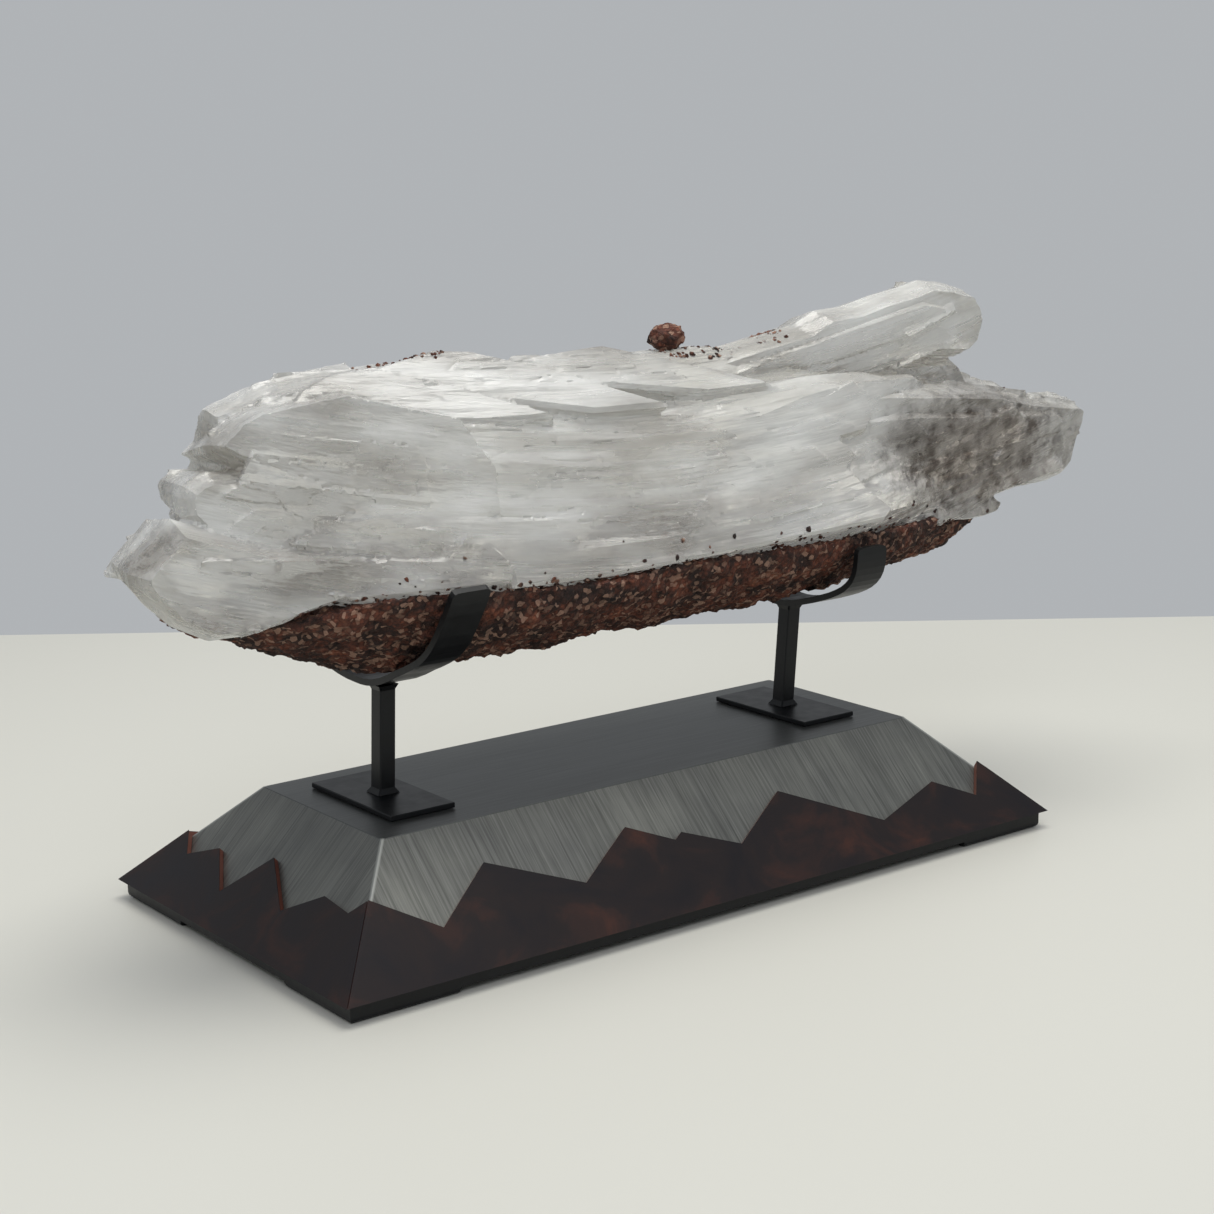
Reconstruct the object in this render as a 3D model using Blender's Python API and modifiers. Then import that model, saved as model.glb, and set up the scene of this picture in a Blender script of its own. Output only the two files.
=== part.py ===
"""A selenite crystal blade on its red matrix, held by two bent steel cradles on a skyline base.

Lengths are in millimetres and become metres through MM. The model is laid out about the middle of
the base, with z = 0 on the surface that it stands on, +X along the base and +Y to the back.
"""
import math
import random

import bmesh
import bpy
from mathutils import Matrix, Vector, noise

MM = 0.001
GAP = 0.3              # clearance kept between pieces that touch
CUT_GAP = 1.5 * GAP    # how far a cutter of a piece's own form stands out from it
OVERRUN = 5.0          # how far a cutter runs past what it cuts

# Base: a sheet-steel hood with sloping sides, open underneath, on a low rim with feet
BASE_LENGTH = 406.0
BASE_WIDTH = 204.7
BASE_HEIGHT = 55.3
TOP_INSET_X = 50.2     # from the lower edge to the flat top, at the ends
TOP_INSET_Y = 51.8     # the same on the long sides
LIP_HEIGHT = 8.6       # lower edge of the slopes above the floor
SHEET = 3.0
SHEET_ALONG = 4.2      # the sheet's thickness, measured level across its slope

RIM_SETBACK = 3.2      # the rim stands back under the slopes' lower edge
RIM_WALL = 5.0
RIM_ROUND = 2.4        # its lower edges are rounded
FOOT_LENGTH = 50.0
FOOT_DROP = 3.0        # the feet reach this far below the rest of the rim

# Skyline plates: heights are measured up the slope from its lower edge
SKYLINE_FRONT = [(10, 58), (57, 23), (89, 47), (132, 26), (165, 47), (187, 35), (192, 38), (220, 25),
                 (255, 46), (305, 18), (346, 31), (368, 18), (383, 38), (396, 34)]
SKYLINE_BACK = [(10, 34), (38, 22), (70, 41), (98, 28), (112, 33), (150, 17), (196, 46), (240, 24),
                (262, 32), (275, 29), (318, 48), (352, 20), (392, 40)]
SKYLINE_LEFT = [(20, 56), (37, 34), (58, 36), (79, 22), (107, 41), (127, 17), (148, 34), (168, 25),
                (180, 36), (196, 30)]
SKYLINE_RIGHT = [(10, 38), (44, 20), (72, 40), (94, 26), (118, 44), (150, 19), (196, 50)]

# Stand: foot plates, square posts and flat-bar cradles
PLATE_SIZE = (33.0, 67.5, 2.4)
PLATE_EDGE = 0.35      # small bevel on the plates' edges
POST_WIDTH = 8.0
POST_EDGE = 0.5
WELD_FLARE = 1.6       # the weld at a post's foot stands out this far
WELD_FLARE_HEAD = 1.1
WELD_HEIGHT = 2.4
BAR_WIDTH = 19.0
BAR_THICKNESS = 3.0
BAR_CORNER = 2.5       # clipped corners at the tops of the arms

LEFT_PLATE_X = -121.0
LEFT_POST_X = (-120.5, -118.3)      # at its foot and at its head
LEFT_CRADLE_X = -117.5
LEFT_CRADLE = [(-72.0, 160.0), (-68.6, 154.0), (-62.0, 144.0), (-54.2, 133.6), (-46.4, 126.6),
               (-38.0, 121.8), (-26.0, 116.6), (-11.0, 110.2), (0.0, 107.8), (10.0, 107.6),
               (24.0, 108.8), (42.0, 113.4), (55.0, 121.4), (64.5, 133.0), (70.5, 146.0), (74.0, 160.0)]

RIGHT_PLATE_X = 118.0
RIGHT_POST_X = (117.4, 122.0)
RIGHT_CRADLE_X = 124.5
RIGHT_CRADLE = [(-56.6, 146.0), (-56.2, 139.0), (-54.6, 132.2), (-50.0, 126.0), (-42.5, 121.2),
                (-32.5, 117.2), (-17.0, 112.4), (-5.0, 109.9), (5.0, 109.9), (15.0, 112.0),
                (31.0, 116.6), (43.0, 121.8), (51.5, 128.6), (56.0, 137.0), (57.5, 146.0)]

# Crystal body, in sections along X: the height of its bottom, the y of the front face's lower edge, the
# front face's upper edge (y, z), the height of the crest, and the same two edges of the back face.
# The lower edges of both faces lie at BELLY_HEIGHT.
BELLY_HEIGHT = 160.0
SECTIONS = [(-196, 168, -28.0, (-16, 222), 236, 28.0, (20, 220)),
            (-170, 148, -46.0, (-32, 232), 244, 47.0, (32, 226)),
            (-142, 132, -56.0, (-40, 227), 248, 58.0, (42, 222)),
            (-110, 126, -62.0, (-46, 219), 250, 64.0, (46, 214)),
            (-70, 125, -62.5, (-47, 211), 249, 66.0, (48, 209)),
            (-30, 126, -62.0, (-46, 206), 244, 66.0, (48, 204)),
            (20, 127, -60.0, (-44, 206), 244, 64.0, (46, 205)),
            (60, 128, -57.5, (-42, 211), 245, 60.0, (43, 210)),
            (100, 129, -54.0, (-38, 219), 241, 55.0, (39, 216)),
            (140, 131, -49.0, (-34, 221), 234, 49.0, (34, 219)),
            (180, 138, -39.0, (-28, 219), 228, 40.0, (27, 214)),
            (214, 152, -24.0, (-17, 208), 218, 26.0, (18, 204))]
SECTION_PITCH = 17.0
LEAST_BELLY = 6.0      # the belly is at least this far above the bottom
CHINE_REACH = 0.55     # the underside has an edge at this share of the half width
CHINE_RISE = 0.24      # and at this share of the way from the bottom to the belly
CREST_REACH = 0.21     # half width of the flat crest, as a share of the faces' upper edges
TERRACE = 1.9          # height of one cleavage step on the faces
TERRACE_CHANGE = 0.22  # chance of a step at each station
TERRACE_SEED = 11

# Crust under the crystal, in sections along X: lowest point, half width, and height of its upper edge
CRUST_SECTIONS = [(-219, 147.0, 10.0, 150.0),
                  (-206, 140.5, 30.0, 149.0),
                  (-182, 130.5, 49.0, 152.5),
                  (-150, 119.5, 59.0, 158.0),
                  (-118, 112.2, 64.0, 159.0),
                  (-80, 111.5, 65.5, 154.0),
                  (-40, 111.5, 65.0, 152.0),
                  (0, 112.5, 63.5, 154.0),
                  (40, 113.0, 61.0, 153.0),
                  (84, 113.5, 57.5, 151.0),
                  (126, 114.5, 52.5, 151.0),
                  (170, 117.5, 45.0, 150.0),
                  (206, 122.0, 36.0, 150.0),
                  (230, 129.0, 24.0, 149.0),
                  (244, 139.0, 11.0, 146.0)]
CRUST_PROFILE = [(0.0, 0.0), (0.16, 0.04), (0.31, 0.13), (0.46, 0.24), (0.60, 0.36), (0.74, 0.49),
                 (0.86, 0.64), (0.95, 0.81), (1.0, 1.0)]
CRUST_LIMIT = 185.0    # no crust reaches above this height
CRUST_PITCH = 7.0
CRUST_BACK = 1.05      # the back half is this much wider than the front half
CRUST_LUMP = 5.0       # how far a clump stands out
CRUST_CLUMP = 19.0     # distance between clumps
CRUST_SWELL = 40.0     # length of the slow swells under the clumps

NODULE_PLACE = (42.0, -3.0, 249.0)
NODULE_SIZE = (9.5, 7.5, 6.5)
NODULE_LUMPS = [(2.1, 0.22), (5.0, 0.14)]      # how close together, and how high


def metres(x, y, z):
    """A point given in millimetres."""
    return Vector((x, y, z)) * MM


def material(name, colour, roughness, metallic=0.0, transmission=0.0, ior=1.5):
    """A Principled material; the colour is linear RGB."""
    made = bpy.data.materials.new(name)
    made.use_nodes = True
    shader = made.node_tree.nodes["Principled BSDF"]
    shader.inputs["Base Color"].default_value = (*colour, 1.0)
    shader.inputs["Roughness"].default_value = roughness
    shader.inputs["Metallic"].default_value = metallic
    shader.inputs["Transmission Weight"].default_value = transmission
    shader.inputs["IOR"].default_value = ior
    return made


def add_object(name, bm, collection, finish=None, closed=True):
    """Turn a bmesh into an object of the collection; a closed one gets its faces turned outwards."""
    if closed:
        bmesh.ops.recalc_face_normals(bm, faces=bm.faces)
        if bm.calc_volume(signed=True) < 0:
            bmesh.ops.reverse_faces(bm, faces=bm.faces)
    mesh = bpy.data.meshes.new(name)
    bm.to_mesh(mesh)
    bm.free()
    if finish:
        mesh.materials.append(finish)
    made = bpy.data.objects.new(name, mesh)
    collection.objects.link(made)
    return made


def as_cutter(cutter):
    """Mark an object as a guide that only shapes others."""
    cutter.hide_render = True
    cutter.display_type = "WIRE"
    return cutter


def boolean(target, operation, other):
    """Cut or join the target by an object or by all objects of a collection."""
    step = target.modifiers.new(operation.lower(), "BOOLEAN")
    step.operation = operation
    step.solver = "EXACT"
    if isinstance(other, bpy.types.Collection):
        step.operand_type = "COLLECTION"
        step.collection = other
    else:
        step.object = other


def evaluated_bmesh(source):
    """The object's mesh with its modifiers, in world space."""
    bpy.context.view_layer.update()
    graph = bpy.context.evaluated_depsgraph_get()
    mesh = bpy.data.meshes.new_from_object(source.evaluated_get(graph))
    bm = bmesh.new()
    bm.from_mesh(mesh)
    bpy.data.meshes.remove(mesh)
    bm.transform(source.matrix_world)
    return bm


def box(bm, low, high):
    """Add a box between two corners and return its vertices."""
    centre = (metres(*low) + metres(*high)) / 2
    size = metres(*high) - metres(*low)
    place = Matrix.Translation(centre) @ Matrix.Diagonal((*size, 1.0))
    return bmesh.ops.create_cube(bm, size=1.0, matrix=place)["verts"]


def frustum(offset, bottom, top):
    """The base's sloping form, with its faces moved inwards by offset and cut between two heights."""
    bm = bmesh.new()
    corners = box(bm, (-1.0, -1.0, bottom), (1.0, 1.0, top))
    for corner in corners:
        height = bottom if corner.co.z < (bottom + top) / 2 * MM else top
        half_x, half_y = half_sizes(height, offset)
        corner.co.x = math.copysign(half_x, corner.co.x) * MM
        corner.co.y = math.copysign(half_y, corner.co.y) * MM
    return bm


def slope_angles():
    """Steepness of the end slopes and of the long slopes of the sheet hood, under its plates."""
    rise = BASE_HEIGHT - LIP_HEIGHT
    steep_x = math.atan2(rise, TOP_INSET_X - SHEET_ALONG)
    steep_y = math.atan2(rise, TOP_INSET_Y - SHEET_ALONG)
    return steep_x, steep_y


def half_sizes(height, offset):
    """Half length and half width at a height, inside the hood's outer faces by offset."""
    steep_x, steep_y = slope_angles()
    down = BASE_HEIGHT - height
    half_x = BASE_LENGTH / 2 - TOP_INSET_X + down / math.tan(steep_x) - offset / math.sin(steep_x)
    half_y = BASE_WIDTH / 2 - TOP_INSET_Y + down / math.tan(steep_y) - offset / math.sin(steep_y)
    return half_x, half_y


def make_shell(parts, cutters, finish):
    """The hood: folded and welded sheet, open underneath."""
    shell = add_object("base_shell", frustum(0.0, LIP_HEIGHT, BASE_HEIGHT), parts, finish)
    inside = add_object("shell_inside", frustum(SHEET, LIP_HEIGHT - OVERRUN, BASE_HEIGHT - SHEET), cutters)
    boolean(shell, "DIFFERENCE", as_cutter(inside))


def make_rim(parts, cutters, finish):
    """The welded bar under the slopes, cut away between its corner feet."""
    half_x = BASE_LENGTH / 2 - RIM_SETBACK
    half_y = BASE_WIDTH / 2 - RIM_SETBACK
    top = LIP_HEIGHT - GAP
    bm = bmesh.new()
    box(bm, (-half_x, -half_y, 0.0), (half_x, half_y, top))
    lower = [edge for edge in bm.edges if all(vert.co.z < top / 2 * MM for vert in edge.verts)]
    bmesh.ops.bevel(bm, geom=lower, offset=RIM_ROUND * MM, affect="EDGES", segments=3, profile=0.5,
                    material=-1)
    rim = add_object("base_rim", bm, parts, finish)

    bm = bmesh.new()
    inner_x = half_x - RIM_WALL
    inner_y = half_y - RIM_WALL
    box(bm, (-inner_x, -inner_y, -OVERRUN), (inner_x, inner_y, top + OVERRUN))
    boolean(rim, "DIFFERENCE", as_cutter(add_object("rim_inside", bm, cutters)))

    reach_x = half_x - FOOT_LENGTH
    reach_y = half_y - FOOT_LENGTH
    gaps = {"long": (reach_x, half_y + OVERRUN), "short": (half_x + OVERRUN, reach_y)}
    for label, (gap_x, gap_y) in gaps.items():
        bm = bmesh.new()
        corners = box(bm, (-gap_x, -gap_y, -FOOT_DROP), (gap_x, gap_y, FOOT_DROP))
        for corner in corners:
            if corner.co.z > 0:     # the feet have sloping ends
                inward = FOOT_DROP * MM
                if label == "long":
                    corner.co.x -= math.copysign(inward, corner.co.x)
                else:
                    corner.co.y -= math.copysign(inward, corner.co.y)
        cutter = as_cutter(add_object("foot_gap_" + label, bm, cutters))
        boolean(rim, "DIFFERENCE", cutter)


def make_skyline(name, outline, length, turn, half_span, steep, other_steep, parts, finish):
    """One flat plate with a mountain skyline, lying on a slope and mitred to its neighbours."""
    bm = bmesh.new()
    spare_u, spare_v = 20.0, 12.0      # trimmed off again below
    lower_edge = [(length + spare_u, -spare_v), (-spare_u, -spare_v)]
    # (u, v) run along the slope's lower edge and up the slope
    ring = [bm.verts.new(metres(u - length / 2, 0.0, v)) for u, v in outline + lower_edge]
    face = bm.faces.new(ring)
    face.normal_update()
    if face.normal.y > 0:
        face.normal_flip()
    depth = SHEET - GAP
    block = bmesh.ops.extrude_face_region(bm, geom=[face])
    moved = [item for item in block["geom"] if isinstance(item, bmesh.types.BMVert)]
    bmesh.ops.translate(bm, verts=moved, vec=metres(0.0, depth, 0.0))

    # Lay it back onto the slope: its outer face passes through the lower edge of the base
    lean = Matrix.Rotation(steep - math.pi / 2, 4, "X")
    lift = Matrix.Translation(metres(0.0, -half_span, LIP_HEIGHT))
    bm.transform(lift @ lean)

    trim_to = [(metres(0.0, 0.0, LIP_HEIGHT), Vector((0, 0, -1)))]
    front_normal = Vector((0, -math.sin(steep), math.cos(steep)))
    for side in (-1, 1):
        end_normal = Vector((side * math.sin(other_steep), 0, math.cos(other_steep)))
        mitre = (end_normal - front_normal).normalized()
        corner = metres(side * length / 2, -half_span, LIP_HEIGHT)
        trim_to.append((corner - mitre * GAP / 2 * MM, mitre))
    for point, normal in trim_to:
        everything = bm.verts[:] + bm.edges[:] + bm.faces[:]
        cut_edges = bmesh.ops.bisect_plane(bm, geom=everything, plane_co=point, plane_no=normal,
                                           dist=1e-7, clear_outer=True)
        rim = [item for item in cut_edges["geom_cut"] if isinstance(item, bmesh.types.BMEdge)]
        bmesh.ops.contextual_create(bm, geom=rim)
    bm.transform(Matrix.Rotation(turn, 4, "Z"))
    add_object(name, bm, parts, finish)


def make_skylines(parts, finish):
    """The four plates around the base."""
    steep_x, steep_y = slope_angles()
    half_length = BASE_LENGTH / 2
    half_width = BASE_WIDTH / 2
    quarter = math.pi / 2
    long_side = (half_width, steep_y, steep_x, parts, finish)
    short_side = (half_length, steep_x, steep_y, parts, finish)
    left = [(BASE_WIDTH - u, v) for u, v in reversed(SKYLINE_LEFT)]
    make_skyline("skyline_front", SKYLINE_FRONT, BASE_LENGTH, 0.0, *long_side)
    make_skyline("skyline_right", SKYLINE_RIGHT, BASE_WIDTH, quarter, *short_side)
    make_skyline("skyline_back", SKYLINE_BACK, BASE_LENGTH, 2 * quarter, *long_side)
    make_skyline("skyline_left", left, BASE_WIDTH, -quarter, *short_side)


def make_foot_plate(name, x, parts, finish):
    """A flat plate on the base's top, under a post."""
    length, width, thickness = PLATE_SIZE
    bottom = BASE_HEIGHT + GAP
    bm = bmesh.new()
    box(bm, (x - length / 2, -width / 2, bottom), (x + length / 2, width / 2, bottom + thickness))
    bmesh.ops.bevel(bm, geom=bm.edges[:], offset=PLATE_EDGE * MM, affect="EDGES", segments=1, profile=0.5,
                    material=-1)
    add_object(name, bm, parts, finish)


def make_post(name, x_foot, x_head, head_height, parts, finish):
    """A square bar with a small weld fillet at both ends; its foot and head are level."""
    bottom = BASE_HEIGHT + PLATE_SIZE[2] + 2 * GAP
    top = head_height - GAP
    half = POST_WIDTH / 2
    stops = [(bottom, half + WELD_FLARE), (bottom + WELD_HEIGHT, half), (top - WELD_HEIGHT, half),
             (top, half + WELD_FLARE_HEAD)]
    bm = bmesh.new()
    rings = []
    for z, reach in stops:
        x = x_foot + (x_head - x_foot) * (z - bottom) / (top - bottom)
        corners = [(-reach, -reach), (reach, -reach), (reach, reach), (-reach, reach)]
        rings.append([bm.verts.new(metres(x + dx, dy, z)) for dx, dy in corners])
    close_loft(bm, rings)
    upright = [edge for edge in bm.edges if abs(edge.verts[0].co.z - edge.verts[1].co.z) > MM]
    bmesh.ops.bevel(bm, geom=upright, offset=POST_EDGE * MM, affect="EDGES", segments=1, profile=0.5,
                    material=-1)
    add_object(name, bm, parts, finish)


def close_loft(bm, rings):
    """Skin a row of rings with equal point counts, and cap both ends."""
    count = len(rings[0])
    for near, far in zip(rings, rings[1:]):
        for i in range(count):
            j = (i + 1) % count
            bm.faces.new((near[i], near[j], far[j], far[i]))
    bm.faces.new(reversed(rings[0]))
    bm.faces.new(rings[-1])


def bent_bar(name, x, bend, grow, collection, finish=None):
    """A flat bar bent to a U; bend is the outer side's route in the Y-Z plane, front to back."""
    curve = bpy.data.curves.new(name, "CURVE")
    curve.dimensions = "3D"
    curve.resolution_u = 2
    curve.extrude = (BAR_WIDTH / 2 + grow) * MM
    spline = curve.splines.new("BEZIER")
    spline.bezier_points.add(len(bend) - 1)
    for knot, (y, z) in zip(spline.bezier_points, bend):
        knot.co = metres(y, z, 0.0)
        knot.handle_left_type = knot.handle_right_type = "AUTO"
    guide = bpy.data.objects.new(name + "_route", curve)
    collection.objects.link(guide)
    bm = evaluated_bmesh(guide)
    bpy.data.objects.remove(guide)
    bpy.data.curves.remove(curve)

    # The curve is drawn flat; stand it up so that its own X, Y, Z become Y, Z, X
    bm.transform(Matrix(((0, 0, 1, x * MM), (1, 0, 0, 0), (0, 1, 0, 0), (0, 0, 0, 1))))
    bmesh.ops.remove_doubles(bm, verts=bm.verts, dist=1e-6)
    bmesh.ops.recalc_face_normals(bm, faces=bm.faces)
    lowest = min(bm.faces, key=lambda face: face.calc_center_median().z)
    if lowest.normal.z > 0:
        bmesh.ops.reverse_faces(bm, faces=bm.faces)
    made = add_object(name, bm, collection, finish, closed=False)
    wall = made.modifiers.new("thickness", "SOLIDIFY")
    wall.thickness = (BAR_THICKNESS + 2 * grow) * MM
    wall.offset = -1.0 + 2 * grow / (BAR_THICKNESS + 2 * grow)
    wall.use_even_offset = True
    return made


def clip_corners(cradle):
    """Clip the corners at the tops of the arms."""
    bm = evaluated_bmesh(cradle)
    cradle.modifiers.clear()
    close = 0.001 * MM
    square = math.radians(69)
    x_values = [vert.co.x for vert in bm.verts]
    low_x, high_x = min(x_values), max(x_values)
    tops = []
    for edge in bm.edges:
        first, second = edge.verts
        near_x, far_x = sorted((first.co.x, second.co.x))
        at_side = far_x - low_x < close or high_x - near_x < close
        along = (second.co - first.co).length
        across_wall = abs(along - BAR_THICKNESS * MM) < 0.3 * MM
        level = abs(first.co.z - second.co.z) < 0.6 * along
        if at_side and across_wall and level and edge.calc_face_angle(0.0) > square:
            tops.append(edge)
    bmesh.ops.bevel(bm, geom=tops, offset=BAR_CORNER * MM, affect="EDGES", segments=2, profile=0.5,
                    material=-1)
    bm.to_mesh(cradle.data)
    bm.free()


def between(rows, x):
    """Interpolate a table of sections at x, column by column."""
    for low, high in zip(rows, rows[1:]):
        if x <= high[0]:
            break
    share = min(max((x - low[0]) / (high[0] - low[0]), 0.0), 1.0)

    def mix(a, b):
        if isinstance(a, tuple):
            return tuple(mix(p, q) for p, q in zip(a, b))
        return a + (b - a) * share

    return [mix(a, b) for a, b in zip(low[1:], high[1:])]


def stations(rows, pitch):
    """Evenly spaced places along X from the first section to the last."""
    start, end = rows[0][0], rows[-1][0]
    count = round((end - start) / pitch)
    return [start + (end - start) * i / count for i in range(count + 1)]


def crystal_ring(x):
    """Corner points of the body's cross-section at x, with the number of strips up to the next."""
    bottom, front, ridge, crest, back, back_ridge = between(SECTIONS, x)
    belly = max(BELLY_HEIGHT, bottom + LEAST_BELLY)
    chine = bottom + (belly - bottom) * CHINE_RISE
    return [((0.0, bottom), 2),
            ((front * CHINE_REACH, chine), 3),
            ((front, belly), 7),
            (ridge, 6),
            ((ridge[0] * CREST_REACH, crest - 1.0), 1),
            ((back_ridge[0] * CREST_REACH, crest), 6),
            (back_ridge, 7),
            ((back, belly), 3),
            ((back * CHINE_REACH, chine), 2)]


def terraces(count, length, rng):
    """Cleavage steps: for each strip a run of whole levels along the body, broken here and there."""
    levels = []
    for _ in range(count):
        level = rng.choice((0, 1, 2))
        run = []
        for _ in range(length):
            if rng.random() < TERRACE_CHANGE:
                level = min(max(level + rng.choice((-1, 1)), 0), 3)
            run.append(level)
        levels.append(run)
    return levels


def make_crystal_body(guides, finish, parts):
    """The grown body: long faces with lengthwise terraces, lofted from section to section."""
    rng = random.Random(TERRACE_SEED)
    places = stations(SECTIONS, SECTION_PITCH)
    strips = sum(count for corner, count in crystal_ring(places[0]))
    levels = terraces(strips, len(places), rng)
    bm = bmesh.new()
    rings = []
    for place, x in enumerate(places):
        corners = crystal_ring(x)
        ring = []
        for i, (start, count) in enumerate(corners):
            end = corners[(i + 1) % len(corners)][0]
            along = Vector((end[0] - start[0], end[1] - start[1])).normalized()
            outward = Vector((-along.y, along.x))
            for k in range(count):
                share = k / count
                y = start[0] + (end[0] - start[0]) * share
                z = start[1] + (end[1] - start[1]) * share
                step = TERRACE * (levels[len(ring)][place] - 1)
                ring.append(metres(x, y + outward.x * -step, z + outward.y * -step))
        rings.append([bm.verts.new(point) for point in ring])
    close_loft(bm, rings)
    bent = [face for face in bm.faces if len(face.verts) == 4]
    bmesh.ops.triangulate(bm, faces=bent)      # flat faces, which the crust's cutter then matches
    crystal = add_object("selenite_blade", bm, parts, finish)
    boolean(crystal, "UNION", guides)
    return crystal


def blade_form(name, outline, front, edge, back, bevel, guides, foot=(0.0, 0.0), lean=0.0, yaw=0.0):
    """A flat blade, bevelled on both sides to the plane of its outline.

    The outline is (x, height) in a plane that passes through foot (y, z) and leans back by lean
    degrees; front, edge and back are distances from that plane, to the back where positive. Yaw
    turns the blade about the upright through its middle.
    """
    bm = bmesh.new()
    ring = [bm.verts.new(metres(x, edge, height)) for x, height in outline]
    face = bm.faces.new(ring)
    face.normal_update()
    if face.normal.y > 0:
        face.normal_flip()
    bmesh.ops.inset_region(bm, faces=[face], thickness=bevel * MM, use_even_offset=True,
                           use_boundary=True)
    bmesh.ops.translate(bm, verts=face.verts, vec=metres(0.0, front - edge, 0.0))
    rear = bm.faces.new(ring)
    rear.normal_update()
    if rear.normal.y < 0:
        rear.normal_flip()
    bmesh.ops.inset_region(bm, faces=[rear], thickness=bevel * MM, use_even_offset=True)
    bmesh.ops.translate(bm, verts=rear.verts, vec=metres(0.0, back - edge, 0.0))

    bm.transform(Matrix.Translation(metres(0.0, *foot)) @ Matrix.Rotation(math.radians(-lean), 4, "X"))
    centre = sum((vert.co for vert in bm.verts), Vector()) / len(bm.verts)
    turn = Matrix.Rotation(math.radians(yaw), 4, "Z")
    bm.transform(Matrix.Translation(centre) @ turn @ Matrix.Translation(-centre))
    as_cutter(add_object(name, bm, guides))


def make_left_blades(guides):
    """The tips that fan out at the left end, from the front to the back; outlines are (x, z)."""
    blade_form("low_left", [(-230, 198), (-237, 190), (-246, 182), (-249, 178), (-248, 172), (-242, 164),
                            (-233, 155), (-217, 147), (-200, 147), (-180, 152), (-150, 159), (-108, 162),
                            (-108, 177), (-150, 179), (-190, 184), (-216, 193)],
               -46, -32, 4, 5.0, guides, yaw=-7)
    blade_form("low_left_under", [(-238, 168), (-228, 154), (-206, 145), (-170, 140), (-110, 136),
                                  (-100, 150), (-170, 160)],
               -26, -12, 14, 6, guides, yaw=-4)
    blade_form("mid_left", [(-207, 19), (-208, 23), (-203, 27), (-197, 32), (-188, 36), (-150, 41),
                            (-100, 28), (-84, 4), (-84, -20), (-140, -10), (-176, 4), (-194, 12)],
               -44, -28, 14, 3.4, guides, foot=(0, 196), lean=10, yaw=-9)
    blade_form("mid_left_scar", [(-190, 203), (-184, 209), (-150, 208), (-110, 200), (-110, 176),
                                 (-160, 184), (-182, 194)],
               -44, -32, 4, 3, guides, yaw=-9)
    blade_form("fan_left", [(-223, 205), (-221, 209.5), (-216, 212.5), (-211, 214), (-198, 213),
                            (-180, 212), (-150, 208), (-110, 196), (-110, 150), (-160, 160),
                            (-187, 177), (-211, 185), (-222, 197)],
               -38, -29, 10, 4, guides, yaw=-9)
    blade_form("rear_left", [(-204, 199), (-202, 203), (-194, 208), (-184, 206), (-140, 204),
                             (-120, 190), (-120, 150), (-180, 152), (-200, 165), (-208, 182)],
               -6, 12, 32, 7, guides)
    blade_form("high_left", [(-184, 232), (-185, 237), (-178, 241), (-167, 244), (-148, 245),
                             (-110, 236), (-100, 214), (-158, 222)],
               -18, 4, 20, 3, guides, yaw=-4)


def make_top_plates(guides):
    """Long plates on the sloping upper face; they climb to the left, as the crystal's grain does."""
    slope = {"lean": 47, "foot": (-46, 216), "guides": guides}
    blade_form("top_plate_left", [(-180, 24), (-166, 36), (-150, 43), (-128, 45), (-96, 32), (-50, 8),
                                  (-90, 9), (-140, 17)],
               -4.0, -2.0, 16, 1.6, **slope)
    blade_form("top_plate_middle", [(-136, 42), (-114, 48), (-94, 52), (-76, 50), (-40, 36), (14, 8),
                                    (-30, 9), (-80, 22)],
               -3.0, -1.0, 16, 1.6, **slope)
    blade_form("top_plate_right", [(-66, 42), (-40, 46), (-4, 48), (36, 34), (84, 14), (40, 14),
                                   (-16, 25)],
               -1.0, 1.0, 16, 1.4, yaw=1.5, **slope)


def make_face_layers(guides):
    """Thick outer layers of both faces: they grow out of the body and break off in steps."""
    blade_form("front_layer", [(-92, 52), (-32, 46), (25, 45), (80, 53), (130, 67), (138, 60), (140, 50),
                               (133, 41), (114, 39), (122, 31), (115, 25), (128, 11), (139, 2),
                               (132, -3), (60, -5), (-40, -7), (-92, -5)],
               -4.5, -2.5, 18, 1.6, guides, foot=(-54.5, 160), lean=18, yaw=1.6)
    blade_form("back_layer", [(-168, 52), (-120, 60), (-60, 50), (0, 45), (70, 48), (90, 40),
                              (90, 4), (80, -6), (-90, -6), (-104, 7), (-140, 8), (-132, 20),
                              (-146, 28), (-138, 38), (-156, 44)],
               -18, 2.0, 4.0, 1.6, guides, foot=(57, 160), lean=-18, yaw=1.6)


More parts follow.
